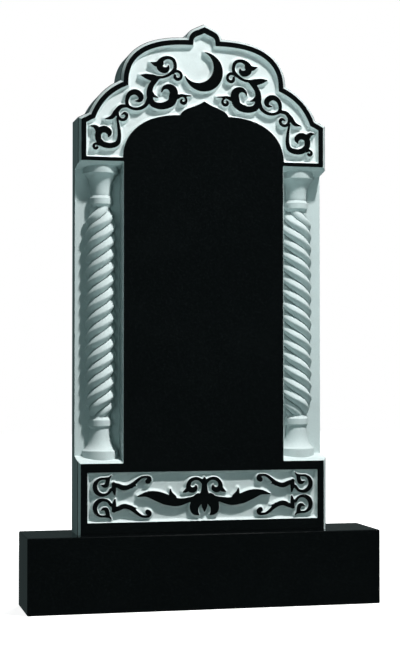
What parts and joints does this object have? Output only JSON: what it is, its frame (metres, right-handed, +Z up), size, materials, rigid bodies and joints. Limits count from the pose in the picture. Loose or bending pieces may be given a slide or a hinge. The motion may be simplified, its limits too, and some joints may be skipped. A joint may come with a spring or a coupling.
{
  "type": "headstone",
  "caption": "Upright polished granite headstone with a lobed carved arch, a blank panel, twisted half-columns in side niches and a carved base band, standing on a plain plinth block.",
  "frame": {"origin": "middle of the plinth's underside, on the ground", "axes": "+Z up, +X to the right of someone facing the carved front, the front looks towards -Y"},
  "size_m": [0.84, 0.165, 1.3727],
  "materials": {
    "polished_granite": "polished",
    "carved_granite": "polished face, carved parts left pale and honed"
  },
  "bodies": {
    "root": {"plinth": "polished_granite", "stele": "carved_granite"}
  },
  "joints": []
}
